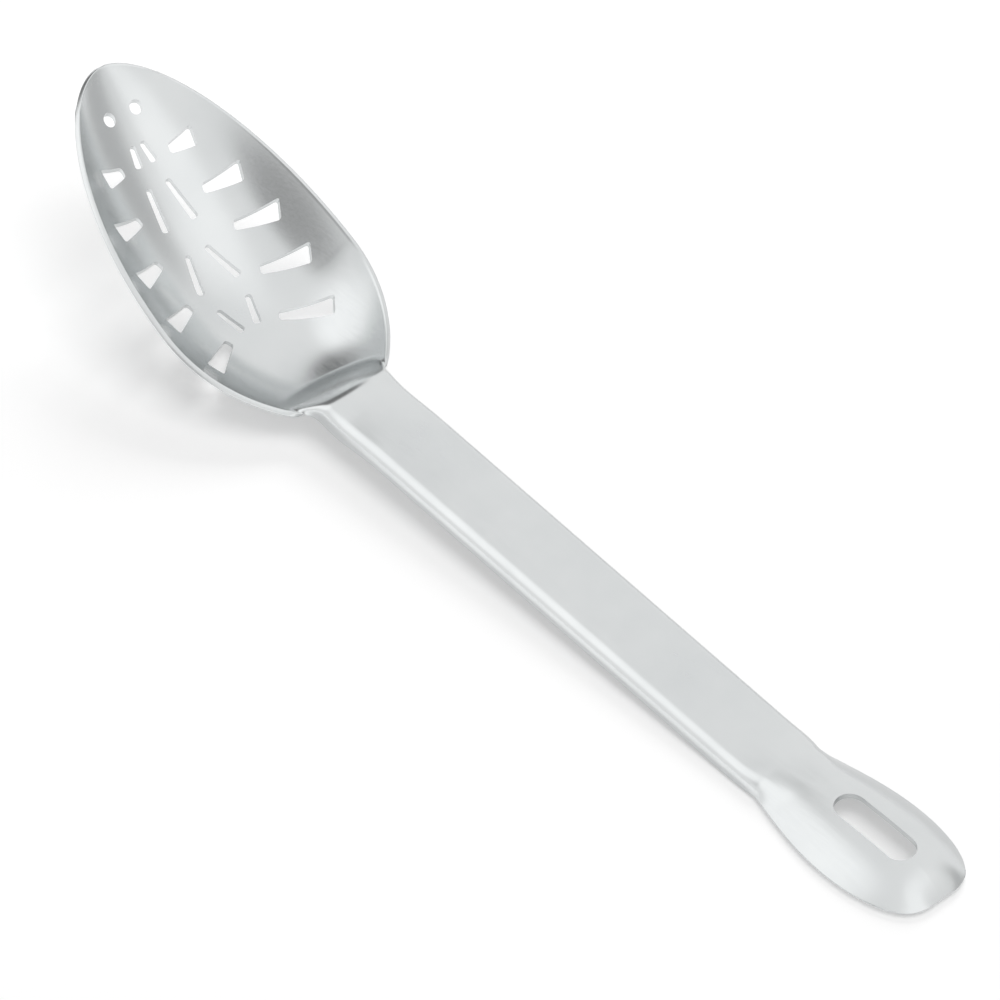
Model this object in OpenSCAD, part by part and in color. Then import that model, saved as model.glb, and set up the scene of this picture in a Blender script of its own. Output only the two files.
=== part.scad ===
// Slotted serving spoon, pressed and drawn from one sheet of stainless steel.
// The bowl points to +Y, the hanging end to -Y, and the spoon lies on the plane z = 0.
// Every surface point comes from one function of two values: the way along the sheet
// from the bowl's tip, and the share of the way across it from its middle to its edge.

/* [Overall] */
// Length over all, measured level from the bowl's tip to the hanging end
overall_len = 330; // [300:1:400]
// Thickness of the sheet
sheet_t = 1.6; // [1.2:0.1:2.2]

/* [Bowl] */
// Length of the bowl along its rim plane
bowl_len = 117.6; // [110:0.2:126]
// Width of the bowl over its rim
bowl_w = 64; // [56:0.5:72]
// Depth of the bowl below its rim
bowl_depth = 18.7; // [16:0.1:21]
// Distance from the tip to the widest place
bowl_widest_at = 75; // [68:1:82]
// Distance from the tip to the deepest place
bowl_deepest_at = 73.2; // [68:0.2:80]
// Angle of the rim plane above the handle, in degrees
bowl_tilt = 22; // [16:0.5:26]
// Height of the handle's top over the rim at the neck
neck_rise = 8; // [6.4:0.1:9]
// Sag of the rim between the tip and the neck
rim_bow = 3; // [1:0.1:4.5]

/* [Slots in the bowl] */
// Width of a side slot at its end near the middle
slot_inner_w = 2.6; // [2:0.1:3.2]
// Width of a side slot at its end near the rim
slot_outer_w = 5.4; // [4:0.1:6.5]
// Width of the narrow slots on the middle line
slot_mid_w = 2.4; // [1.8:0.1:3]
// Corner radius of every slot
slot_corner_r = 0.8; // [0.4:0.1:0.9]
// Diameter of the two small holes at the tip
tip_hole_d = 3.6; // [2.5:0.1:4.5]

/* [Handle] */
// Width of the handle at the neck
handle_neck_w = 23.9; // [21:0.1:27]
// Width of the handle at the end of its flanges
handle_end_w = 22.8; // [19:0.1:25]
// Depth of the turned-down flanges
flange_depth = 6.2; // [5.6:0.1:6.8]
// Radius of the shoulders over the flanges
shoulder_r = 4; // [3:0.1:5]
// Height of the crown across the top of the handle
crown_h = 0.8; // [0.2:0.1:1.2]
// Height that the crown gains toward the neck
neck_crown = 2.2; // [0.5:0.1:2.4]
// Angle at which the handle falls toward the hanging end when the spoon lies down
handle_fall = 3.2; // [2.4:0.1:3.6]

/* [Hanging end] */
// Length of the leaf-shaped end, measured level
hang_len = 54; // [50:0.5:60]
// Width of the leaf-shaped end
hang_w = 32.4; // [29:0.2:36]
// Rise from the end of the handle's top to the top of the leaf-shaped end
hang_rise = 2.1; // [1.4:0.1:3]
// Drop from the top of the leaf-shaped end to its edge
leaf_drop = 6.3; // [5:0.1:7]
// Width of the rounding that goes down to that edge
leaf_skirt_w = 14; // [11:0.5:16]
// Length of the hanging slot, end to end
hang_slot_len = 25.4; // [20:0.2:28]
// Width of the hanging slot
hang_slot_w = 8.4; // [6:0.2:10]
// Distance of the slot's middle from the end
hang_slot_from_end = 23.9; // [22:0.1:27]

/* [Hidden] */

steel = [0.80, 0.82, 0.82];
overrun = 1;
probe = 0.02;
cutter_fn = 24;
slot_fn = 64;

// Shape of the bowl: fullness of its outline before and behind the widest place,
// and how flat its floor is across and toward the neck
front_outline_power = 1.12;
rear_outline_power = 1.22;
across_power = 2.35;
front_floor_power = 2;
rear_floor_power = 2.4;
corner_blend_power = 6;

// Where the bowl's section turns into the handle's channel, and where the sheet bends
turn_before = 16;
turn_narrowing = 0.6;
neck_roll_len = 20;
bend_before = 8;
bend_after = 6;
neck_before = 16;
neck_after = 16;

// Channel section, outline of the leaf, and where the one opens into the other
flange_angle = 87;
leaf_widest_share = 0.545;
leaf_tip_power = 0.6;
leaf_skirt_power = 1.9;
skirt_blend_power = 4;
leaf_rest_shares = [0.1, 0.5, 0.7];
open_before = 10;
open_after = 6;
rise_before = 18;
rise_after = 8;
level_bend = 8;

// Half of the bowl's width on its upper face, and how far the sheet's edge reaches
// past that face at the rim and at the tip, and how far the tip hangs ahead of its course
rim_slope = atan(across_power * 2 * bowl_depth / bowl_w);
rim_half_w = bowl_w / 2 - sheet_t * sin(rim_slope);
tip_slope = atan(front_floor_power * bowl_depth / bowl_deepest_at);
tip_over = sheet_t * sin(bowl_tilt + handle_fall + tip_slope) + neck_rise * sin(bowl_tilt + handle_fall);

// Distances along the sheet to the end of the flanges
tip_start = 0.12;
bend_from = bowl_len - bend_before;
bend_to = bowl_len + bend_after;
bend_r = (bend_to - bend_from) * 180 / (PI * bowl_tilt);
bowl_run = bend_r * sin(bowl_tilt) + bend_from * cos(bowl_tilt);
bowl_rise = bend_r * (1 - cos(bowl_tilt)) + bend_from * sin(bowl_tilt);
level_len = overall_len - tip_over - hang_len + bowl_rise * sin(handle_fall);
straight_len = level_len / cos(handle_fall) - bowl_run;
flange_end = bend_to + straight_len;

// The leaf-shaped end bends up to lie level
level_r = level_bend * 180 / (PI * handle_fall);
level_from = flange_end + level_bend;
sheet_end = level_from + hang_len - level_r * sin(handle_fall);
leaf_len = sheet_end - flange_end;
hang_slot_at = sheet_end - hang_slot_from_end;

// Counts of strips
cols = 12;
bowl_rows = 36;
neck_rows = 18;
handle_rows = 8;
hang_rows = 26;

function clamp01(s) = min(1, max(0, s));
function smooth(from, to, t) =
    let (s = clamp01((t - from) / (to - from)))
    s * s * (3 - 2 * s);
function soft_max(a, b) =
    pow(pow(a, corner_blend_power) + pow(b, corner_blend_power), 1 / corner_blend_power);
function soft_min(a, b) =
    a * b / pow(pow(a, skirt_blend_power) + pow(b, skirt_blend_power), 1 / skirt_blend_power);

// Half of the bowl's width at a distance from its tip
function bowl_half_w(t) =
    let (ahead = t < bowl_widest_at)
    let (reach = ahead ? bowl_widest_at : bowl_len - bowl_widest_at)
    let (c = min(1, abs(t - bowl_widest_at) / reach))
    rim_half_w * pow(1 - c * c, (ahead ? front_outline_power : rear_outline_power) / 2);

// Depth of the bowl on its middle line
function bowl_depth_at(t) =
    let (ahead = t < bowl_deepest_at)
    let (reach = ahead ? bowl_deepest_at : bowl_len - bowl_deepest_at)
    let (c = min(1, abs(t - bowl_deepest_at) / reach))
    bowl_depth * (1 - pow(c, ahead ? front_floor_power : rear_floor_power));

// Half width of the handle and of the leaf-shaped end
function handle_half_w(t) =
    let (s = clamp01((t - bowl_len) / (flange_end - bowl_len)))
    (handle_neck_w + (handle_end_w - handle_neck_w) * s) / 2;
function leaf_half_w(t) =
    let (s = clamp01((t - flange_end) / leaf_len))
    s < leaf_widest_share
        ? (handle_end_w + (hang_w - handle_end_w) * sin(90 * s / leaf_widest_share)) / 2
        : hang_w / 2 * pow(1 - pow((s - leaf_widest_share) / (1 - leaf_widest_share), 2), leaf_tip_power / 2);
function leaf_flare(t) =
    (grip_half_w(min(t + probe, sheet_end)) - grip_half_w(t - probe)) / (2 * probe);
function grip_half_w(t) = t < flange_end ? handle_half_w(t) : leaf_half_w(t);

// Half width of the sheet over the whole spoon, with a round corner behind the bowl
function half_w(t) =
    t < bowl_widest_at ? bowl_half_w(t)
    : t < bowl_len ? soft_max(bowl_half_w(t), handle_neck_w / 2)
    : grip_half_w(t);

// Height of the rim over its course, which is in line with the handle's top
function rim_at(t) =
    let (s = min(1, t / bowl_len))
    -neck_rise - rim_bow * 4 * s * (1 - s);

// Section of the bowl: [across, up] at a share v of its half width
function bowl_section(t, v) =
    [half_w(t) * v, rim_at(t) - bowl_depth_at(t) * (1 - pow(abs(v), across_power))];

// Section of the handle: a crowned top, a round shoulder and a flange. Toward the neck
// the top arches more, and the flange deepens until its edge runs on as the bowl's rim
function at_neck(t) = 1 - smooth(bowl_len, bowl_len + neck_roll_len, t);
function channel_section(t, v) =
    let (top_crown = crown_h + neck_crown * at_neck(t))
    let (depth = flange_depth + (neck_rise - flange_depth) * at_neck(t))
    let (flange = depth - shoulder_r - top_crown)
    let (inner = half_w(t) - shoulder_r * sin(flange_angle) - flange * cos(flange_angle))
    let (start = atan(2 * top_crown / inner))
    let (flat = inner + shoulder_r * sin(start))
    let (crown = flat * tan(start) / 2)
    let (arc = shoulder_r * (flange_angle - start) * PI / 180)
    let (way = abs(v) * (flat + arc + flange))
    let (turned = start + clamp01((way - flat) / arc) * (flange_angle - start))
    let (down = max(0, way - flat - arc))
    let (x = min(way, flat) + shoulder_r * (sin(turned) - sin(start)) + down * cos(flange_angle))
    let (z = -crown * pow(min(way, flat) / flat, 2) - shoulder_r * (cos(start) - cos(turned))
             - down * sin(flange_angle))
    [v < 0 ? -x : x, z];

// Section of the leaf-shaped end: it rounds down from its middle to its edge, over the
// same width round the whole outline
function leaf_section(t, v) =
    let (w = grip_half_w(t))
    let (from_side = w * (1 - abs(v)) / sqrt(1 + pow(leaf_flare(t), 2)))
    let (from_edge = soft_min(from_side, sheet_end - t))
    [w * v, -leaf_drop * pow(1 - clamp01(from_edge / leaf_skirt_w), leaf_skirt_power)];

function grip_section(t, v) =
    let (open = smooth(flange_end - open_before, flange_end + open_after, t))
    open <= 0 ? channel_section(t, v)
    : open >= 1 ? leaf_section(t, v)
    : (1 - open) * channel_section(t, v) + open * leaf_section(t, v);

// The bowl's section turns into the channel's over a stretch that narrows to the corners
function section(t, v) =
    let (turn = turn_before * (1 - turn_narrowing * v * v))
    let (b = smooth(bowl_len - turn, bowl_len, t))
    b <= 0 ? bowl_section(t, v)
    : b >= 1 ? grip_section(t, v)
    : (1 - b) * bowl_section(t, v) + b * grip_section(t, v);

// Course of the middle line of the bowl and neck seen from the side, measured from
// the start of the straight handle and in line with it: [angle down, along, up]
function bowl_course(t) =
    t < bend_from
        ? [bowl_tilt, bowl_run - t * cos(bowl_tilt), bowl_rise - t * sin(bowl_tilt)]
        : let (a = bowl_tilt * (bend_to - t) / (bend_to - bend_from))
          [a, bend_r * sin(a), bend_r * (1 - cos(a))];

// Course of the whole sheet over the level ground, measured from the end of the flanges
function tilted(c) =
    let (along = c[1] + straight_len)
    [c[0] + handle_fall, along * cos(handle_fall) - c[2] * sin(handle_fall),
     along * sin(handle_fall) + c[2] * cos(handle_fall)];
function arc_from(start, r, from_angle, to_angle) =
    [to_angle, start[1] - r * abs(sin(to_angle) - sin(from_angle)),
     start[2] - r * abs(cos(to_angle) - cos(from_angle))];
function ahead_from(start, way) =
    [start[0], start[1] - way * cos(start[0]), start[2] - way * sin(start[0])];
flange_end_place = [handle_fall, 0, 0];
level_place = arc_from(flange_end_place, level_r, handle_fall, 0);
function course(t) =
    t < bend_to ? tilted(bowl_course(t))
    : t < flange_end ? tilted([0, bend_to - t, 0])
    : t < level_from ? arc_from(flange_end_place, level_r, handle_fall,
                                handle_fall * (level_from - t) / level_bend)
    : ahead_from(level_place, t - level_from);

function rise_at(t) = hang_rise * smooth(flange_end - rise_before, flange_end + rise_after, t);

function top_point(t, v) =
    let (c = course(t), s = section(t, v))
    [s.x, c[1] - s.y * sin(c[0]), c[2] + s.y * cos(c[0]) + rise_at(t)];

function unit(a) = a / norm(a);
function normal_at(t, v) =
    let (along = top_point(t + probe, v) - top_point(t - probe, v))
    let (across = top_point(t, v + probe) - top_point(t, v - probe))
    unit(cross(along, across));
function under_point(t, v) = top_point(t, v) - sheet_t * normal_at(t, v);

// Height of the bowl's underside on its middle line, from the handle's top at its end
function bowl_slope(t) =
    (bowl_depth_at(t + probe) - bowl_depth_at(t - probe)) / (2 * probe);
function under_bowl_z(t) =
    let (c = tilted(bowl_course(t)))
    c[2] + (rim_at(t) - bowl_depth_at(t)) * cos(c[0]) - sheet_t * cos(c[0] + atan(bowl_slope(t)));

// Place of the whole spoon: middle of its length over the origin, and the lower one of
// the bowl's underside and the leaf's edge on z = 0
low_rows = 60;
bowl_low = -min([for (k = [0:low_rows]) under_bowl_z(bowl_len * k / low_rows)]);
leaf_low = -min([for (s = leaf_rest_shares) under_point(flange_end + s * leaf_len, 1).z]);
rest_drop = max(bowl_low, leaf_low);
place = [0, hang_len - overall_len / 2, rest_drop];

function share_cols() = [for (j = [-cols:1:cols]) j / cols];
function even_rows(from, to, n) = [for (i = [0:n]) from + (to - from) * i / n];
function round_rows(from, to, n) = [for (i = [0:n]) from + (to - from) * (1 - cos(90 * i / n))];
function round_end_rows(from, to, n) = [for (i = [0:n]) from + (to - from) * sin(90 * i / n)];

bowl_ts = round_rows(tip_start, bowl_len - neck_before, bowl_rows);
neck_ts = even_rows(bowl_len - neck_before, bowl_len + neck_after, neck_rows);
handle_ts = even_rows(bowl_len + neck_after, flange_end - open_before, handle_rows);
hang_ts = round_end_rows(flange_end - open_before, sheet_end - tip_start, hang_rows);

// Closed solid of the sheet between the first and the last of the given rows
module sheet(ts) {
    n = len(ts);
    vs = share_cols();
    m = len(vs);
    tops = [for (t = ts) for (v = vs) top_point(t, v)];
    unders = [for (t = ts) for (v = vs) under_point(t, v)];
    low = n * m;
    function at(i, j) = i * m + j;
    top_faces = [for (i = [0:n - 2]) for (j = [0:m - 2])
        each [[at(i, j), at(i, j + 1), at(i + 1, j)],
              [at(i, j + 1), at(i + 1, j + 1), at(i + 1, j)]]];
    under_faces = [for (f = top_faces) [low + f[0], low + f[2], low + f[1]]];
    edge_faces = [for (i = [0:n - 2])
        each [[at(i, 0), at(i + 1, 0), low + at(i, 0)],
              [at(i + 1, 0), low + at(i + 1, 0), low + at(i, 0)],
              [at(i, m - 1), low + at(i, m - 1), at(i + 1, m - 1)],
              [at(i + 1, m - 1), low + at(i, m - 1), low + at(i + 1, m - 1)]]];
    end_faces = [for (j = [0:m - 2])
        each [[at(0, j), low + at(0, j), at(0, j + 1)],
              [at(0, j + 1), low + at(0, j), low + at(0, j + 1)],
              [at(n - 1, j), at(n - 1, j + 1), low + at(n - 1, j)],
              [at(n - 1, j + 1), low + at(n - 1, j + 1), low + at(n - 1, j)]]];
    polyhedron(concat(tops, unders), concat(top_faces, under_faces, edge_faces, end_faces), convexity = 8);
}

// Side slots, from the tip back: distance from the tip and distance from the middle
// line of the inner end, then of the outer end, as shares of the bowl's length and
// of half its width
side_slot_shares = [
    [0.215, 0.240, 0.221, 0.463],
    [0.328, 0.329, 0.348, 0.645],
    [0.436, 0.392, 0.473, 0.727],
    [0.555, 0.370, 0.598, 0.732],
    [0.672, 0.264, 0.732, 0.632]
];
// Slots along the middle, in the same terms: the end toward the tip, then the other
mid_slot_shares = [
    [0.172, 0.050, 0.222, 0.080],
    [0.269, 0.100, 0.374, 0.153],
    [0.441, 0.098, 0.539, 0.200],
    [0.589, 0.160, 0.661, 0.079]
];
// Share of a middle slot's full width that its end toward the tip has
mid_taper_share = 0.75;
tip_hole_shares = [0.104, 0.137];

// Height of the cutters, from below the sheet to above the rim
cut_below = bowl_depth + neck_rise + rim_bow + 2 * sheet_t;
cut_h = cut_below + overrun;

// One straight-sided cutter with round corners, between two ends of given widths
module slot_cutter(shares, from_w, to_w) {
    start = [shares[1] * bowl_w / 2, -shares[0] * bowl_len];
    end = [shares[3] * bowl_w / 2, -shares[2] * bowl_len];
    way = unit(end - start);
    side = [-way.y, way.x];
    hull()
        for (s = [-1, 1]) {
            translate(start + way * slot_corner_r + side * s * (from_w / 2 - slot_corner_r))
                cylinder(h = cut_h, r = slot_corner_r, $fn = cutter_fn);
            translate(end - way * slot_corner_r + side * s * (to_w / 2 - slot_corner_r))
                cylinder(h = cut_h, r = slot_corner_r, $fn = cutter_fn);
        }
}

module half_pattern() {
    for (shares = side_slot_shares)
        slot_cutter(shares, slot_inner_w, slot_outer_w);
    for (shares = mid_slot_shares)
        slot_cutter(shares, slot_mid_w * mid_taper_share, slot_mid_w);
    translate([tip_hole_shares[1] * bowl_w / 2, -tip_hole_shares[0] * bowl_len])
        cylinder(h = cut_h, d = tip_hole_d, $fn = cutter_fn);
}

module bowl() {
    color(steel)
        translate(place)
            difference() {
                sheet(bowl_ts);
                translate([0, course(0)[1], course(0)[2]])
                    rotate([course(0)[0], 0, 0])
                        translate([0, 0, -cut_below])
                            for (s = [0, 1])
                                mirror([s, 0, 0])
                                    half_pattern();
            }
}

module neck() {
    color(steel)
        translate(place)
            sheet(neck_ts);
}

module handle() {
    color(steel)
        translate(place)
            sheet(handle_ts);
}

// The hanging slot is two round ends joined by a straight run along the handle
module hanging_end() {
    half_run = (hang_slot_len - hang_slot_w) / 2;
    slot_cut_h = rest_drop + hang_rise + 2 * overrun;
    color(steel)
        difference() {
            translate(place)
                sheet(hang_ts);
            translate([0, place.y + course(hang_slot_at)[1], -overrun]) {
                for (s = [-1, 1])
                    translate([0, s * half_run, 0])
                        cylinder(h = slot_cut_h, d = hang_slot_w, $fn = slot_fn);
                translate([-hang_slot_w / 2, -half_run, 0])
                    cube([hang_slot_w, 2 * half_run, slot_cut_h]);
            }
        }
}

bowl();
neck();
handle();
hanging_end();
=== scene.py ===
"""Slotted serving spoon, pressed and drawn from one sheet of satin stainless steel."""

import logging
import math
from dataclasses import dataclass
from enum import Enum

import bpy
from mathutils import Matrix, Vector, kdtree


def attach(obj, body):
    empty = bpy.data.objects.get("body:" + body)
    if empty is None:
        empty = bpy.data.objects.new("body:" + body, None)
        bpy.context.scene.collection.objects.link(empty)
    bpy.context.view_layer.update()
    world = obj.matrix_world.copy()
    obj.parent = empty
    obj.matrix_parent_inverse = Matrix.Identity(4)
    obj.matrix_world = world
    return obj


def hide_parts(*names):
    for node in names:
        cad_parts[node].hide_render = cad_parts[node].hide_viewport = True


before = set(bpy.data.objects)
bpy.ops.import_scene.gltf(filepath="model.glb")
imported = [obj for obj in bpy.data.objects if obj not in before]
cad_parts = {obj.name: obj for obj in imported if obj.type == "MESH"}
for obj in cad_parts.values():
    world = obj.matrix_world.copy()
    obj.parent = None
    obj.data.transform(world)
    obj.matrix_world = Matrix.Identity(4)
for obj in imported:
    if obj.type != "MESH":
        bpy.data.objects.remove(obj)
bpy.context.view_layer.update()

MM = 0.001
NEAR_ZERO = 1e-6
EDGE_TOLERANCE = 1e-4

# The noise patterns lie mostly between these two values
NOISE_LOW, NOISE_HIGH = 0.3, 0.7
# Sockets of the Mix node, which have the same names for floats and for colours
MIX_FLOAT_A, MIX_FLOAT_B, MIX_COLOUR_A, MIX_COLOUR_B, MIX_COLOUR_OUT = 2, 3, 6, 7, 2
WHITE = (1, 1, 1, 1)

logging.basicConfig(level=logging.INFO, format="%(message)s")
log = logging.getLogger("spoon")


def clamp01(share: float) -> float:
    """The share, kept between 0 and 1."""
    return min(1.0, max(0.0, share))


def smooth(start: float, end: float, at: float) -> float:
    """Smooth step from 0 at start to 1 at end."""
    share = clamp01((at - start) / (end - start))
    return share * share * (3 - 2 * share)


def sin_deg(angle: float) -> float:
    """Sine of an angle in degrees."""
    return math.sin(math.radians(angle))


def cos_deg(angle: float) -> float:
    """Cosine of an angle in degrees."""
    return math.cos(math.radians(angle))


def atan_deg(slope: float) -> float:
    """Angle of a slope in degrees."""
    return math.degrees(math.atan(slope))


class Stretch(Enum):
    """The four named stretches of the pressing, by their CAD nodes."""

    BOWL = "bowl"
    NECK = "neck"
    HANDLE = "handle"
    HANGING_END = "hanging_end"


@dataclass
class SheetForm:
    """Sizes of the pressing in millimetres and degrees, and the upper face that they make.

    A point of the face is found from t, the way along the sheet from the bowl's tip, and
    v, the share of the way across it from the middle line (0) to an edge (-1 or 1).
    """

    # The whole sheet
    overall_len: float = 330.0
    sheet_t: float = 1.6
    # The bowl: its outline, the depth under its rim, and the rim's bow between its ends
    bowl_len: float = 117.6
    bowl_w: float = 64.0
    bowl_depth: float = 18.7
    bowl_widest_at: float = 75.0
    bowl_deepest_at: float = 73.2
    bowl_tilt: float = 22.0
    rim_bow: float = 3.0
    front_outline_power: float = 1.12
    rear_outline_power: float = 1.22
    across_power: float = 2.35
    front_floor_power: float = 2.0
    rear_floor_power: float = 2.4
    tip_start: float = 0.12
    # The neck: its rise from the rim to the handle's top, its two corners, and its bend
    neck_rise: float = 8.0
    neck_crown: float = 0.6
    neck_roll_len: float = 20.0
    corner_blend_power: float = 6.0
    turn_before: float = 16.0
    turn_narrowing: float = 0.6
    turn_spread: float = 2.6
    bend_before: float = 8.0
    bend_after: float = 6.0
    # The handle: a crowned top, round shoulders and flanges
    handle_neck_w: float = 23.9
    handle_end_w: float = 22.8
    handle_fall: float = 3.2
    crown_h: float = 0.8
    shoulder_r: float = 4.0
    flange_depth: float = 6.2
    flange_angle: float = 87.0
    # The leaf-shaped hanging end: its outline, its skirt and its slot
    hang_len: float = 54.0
    hang_w: float = 32.4
    hang_rise: float = 2.1
    leaf_drop: float = 6.3
    leaf_widest_share: float = 0.545
    leaf_tip_power: float = 0.6
    leaf_skirt_w: float = 14.0
    leaf_skirt_power: float = 1.9
    skirt_blend_power: float = 4.0
    skirt_start_share: float = 0.5
    skirt_spread_len: float = 22.0
    hang_slot_len: float = 25.4
    hang_slot_w: float = 8.4
    hang_slot_from_end: float = 23.9
    # Where the channel opens, rises and levels out into the leaf
    open_before: float = 10.0
    open_after: float = 12.0
    open_narrowing: float = 0.6
    rise_before: float = 14.0
    rise_after: float = 22.0
    level_bend: float = 8.0
    # The seams before and after the bowl's end
    seam_before: float = 16.0
    seam_after: float = 16.0
    # Where the lowest points are looked for, and the step that slopes are taken over
    bowl_rest_steps: int = 120
    bowl_rest_range: tuple[int, int] = (36, 108)
    leaf_rest_shares: tuple[float, ...] = (0.1, 0.5, 0.7)
    probe: float = 0.02

    def __post_init__(self) -> None:
        """Works out the values that follow from the named sizes."""
        rim_slope = atan_deg(self.across_power * 2 * self.bowl_depth / self.bowl_w)
        self.rim_half_w = self.bowl_w / 2 - self.sheet_t * sin_deg(rim_slope)
        tip_slope = atan_deg(self.front_floor_power * self.bowl_depth / self.bowl_deepest_at)
        tilt, fall = self.bowl_tilt, self.handle_fall
        tip_over = (
            self.sheet_t * sin_deg(tilt + fall + tip_slope) + self.neck_rise * sin_deg(tilt + fall)
        )
        self.bend_from = self.bowl_len - self.bend_before
        self.bend_to = self.bowl_len + self.bend_after
        self.bend_r = math.degrees((self.bend_to - self.bend_from) / tilt)
        self.bowl_run = self.bend_r * sin_deg(tilt) + self.bend_from * cos_deg(tilt)
        self.bowl_rise = self.bend_r * (1 - cos_deg(tilt)) + self.bend_from * sin_deg(tilt)
        level_len = self.overall_len - tip_over - self.hang_len + self.bowl_rise * sin_deg(fall)
        self.straight_len = level_len / cos_deg(fall) - self.bowl_run
        self.flange_end = self.bend_to + self.straight_len
        self.level_r = math.degrees(self.level_bend / fall)
        self.level_from = self.flange_end + self.level_bend
        self.sheet_end = self.level_from + self.hang_len - self.level_r * sin_deg(fall)
        self.leaf_len = self.sheet_end - self.flange_end
        self.bowl_seam = self.bowl_len - self.seam_before
        self.handle_seam = self.bowl_len + self.seam_after
        self.end_seam = self.flange_end - self.open_before
        self.place = Vector((0.0, self.hang_len - self.overall_len / 2, 0.0))
        self.place.z = self.rest_height()

    def rest_height(self) -> float:
        """Height that sets the bowl's underside and the leaf's edges on the floor.

        Returns:
            How far the sheet's lowest point lies below the floor while place.z is 0.
        """
        bowl_ways = (self.bowl_len * k / self.bowl_rest_steps for k in range(*self.bowl_rest_range))
        leaf_ways = (self.flange_end + share * self.leaf_len for share in self.leaf_rest_shares)
        bowl_low = -min(self.under_point(t, 0).z for t in bowl_ways)
        leaf_low = -min(self.under_point(t, 1).z for t in leaf_ways)
        return max(bowl_low, leaf_low)

    def bowl_half_w(self, t: float) -> float:
        """Half of the bowl's width.

        Args:
            t: Way along the sheet.

        Returns:
            Distance from the middle line to the rim's outer edge.
        """
        ahead = t < self.bowl_widest_at
        reach = self.bowl_widest_at if ahead else self.bowl_len - self.bowl_widest_at
        c = min(1.0, abs(t - self.bowl_widest_at) / reach)
        power = self.front_outline_power if ahead else self.rear_outline_power
        return self.rim_half_w * (1 - c * c) ** (power / 2)

    def tip_outline(self, x: float) -> float:
        """Way from the tip at which the bowl's half width is x."""
        share = clamp01(abs(x) / self.rim_half_w) ** (2 / self.front_outline_power)
        return self.bowl_widest_at * (1 - math.sqrt(1 - share))

    def end_outline(self, x: float) -> float:
        """Distance from the end of the leaf at which its half width is x."""
        share = clamp01(abs(x) / (self.hang_w / 2)) ** (2 / self.leaf_tip_power)
        return self.leaf_len * (1 - self.leaf_widest_share) * (1 - math.sqrt(1 - share))

    def bowl_depth_at(self, t: float) -> float:
        """Depth of the bowl on its middle line.

        Args:
            t: Way along the sheet.

        Returns:
            Depth below the rim.
        """
        ahead = t < self.bowl_deepest_at
        reach = self.bowl_deepest_at if ahead else self.bowl_len - self.bowl_deepest_at
        c = min(1.0, abs(t - self.bowl_deepest_at) / reach)
        power = self.front_floor_power if ahead else self.rear_floor_power
        return self.bowl_depth * (1 - c**power)

    def grip_half_w(self, t: float) -> float:
        """Half width of the handle and of the leaf-shaped end.

        Args:
            t: Way along the sheet.

        Returns:
            Distance from the middle line to the edge, seen from above.
        """
        if t < self.flange_end:
            share = clamp01((t - self.bowl_len) / (self.flange_end - self.bowl_len))
            return (self.handle_neck_w + (self.handle_end_w - self.handle_neck_w) * share) / 2
        share = clamp01((t - self.flange_end) / self.leaf_len)
        if share < self.leaf_widest_share:
            growth = sin_deg(90 * share / self.leaf_widest_share)
            return (self.handle_end_w + (self.hang_w - self.handle_end_w) * growth) / 2
        c = (share - self.leaf_widest_share) / (1 - self.leaf_widest_share)
        return self.hang_w / 2 * (1 - c * c) ** (self.leaf_tip_power / 2)

    def half_w(self, t: float) -> float:
        """Half width of the sheet over the whole spoon, with the neck's corners rounded.

        Args:
            t: Way along the sheet.

        Returns:
            Distance from the middle line to the edge, seen from above.
        """
        if t < self.bowl_widest_at:
            return self.bowl_half_w(t)
        if t < self.bowl_len:
            power = self.corner_blend_power
            return (self.bowl_half_w(t) ** power + (self.handle_neck_w / 2) ** power) ** (1 / power)
        return self.grip_half_w(t)

    def bowl_section(self, t: float, v: float) -> tuple[float, float]:
        """Section of the bowl.

        Args:
            t: Way along the sheet.
            v: Share of the way across.

        Returns:
            The point's places across and up.
        """
        share = min(1.0, t / self.bowl_len)
        rim = -self.neck_rise - self.rim_bow * 4 * share * (1 - share)
        return self.half_w(t) * v, rim - self.bowl_depth_at(t) * (1 - abs(v) ** self.across_power)

    def channel_section(self, t: float, v: float) -> tuple[float, float]:
        """Section of the handle: a crowned top, a round shoulder and a flange.

        Args:
            t: Way along the sheet.
            v: Share of the way across, measured along the bent sheet.

        Returns:
            The point's places across and up.
        """
        r, bent = self.shoulder_r, self.flange_angle
        at_neck = 1 - smooth(self.bowl_len, self.bowl_len + self.neck_roll_len, t)
        crown_h = self.crown_h + self.neck_crown * at_neck
        depth = self.flange_depth + (self.neck_rise - self.flange_depth) * at_neck
        flange = depth - r - crown_h
        inner = self.half_w(t) - r * sin_deg(bent) - flange * cos_deg(bent)
        start = atan_deg(2 * crown_h / inner)
        flat = inner + r * sin_deg(start)
        crown = flat * math.tan(math.radians(start)) / 2
        arc = r * math.radians(bent - start)
        way = abs(v) * (flat + arc + flange)
        on_top, down = min(way, flat), max(0.0, way - flat - arc)
        turned = start + clamp01((way - flat) / arc) * (bent - start)
        x = on_top + r * (sin_deg(turned) - sin_deg(start)) + down * cos_deg(bent)
        z = -crown * (on_top / flat) ** 2 - r * (cos_deg(start) - cos_deg(turned))
        return math.copysign(x, v), z - down * sin_deg(bent)

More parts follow.
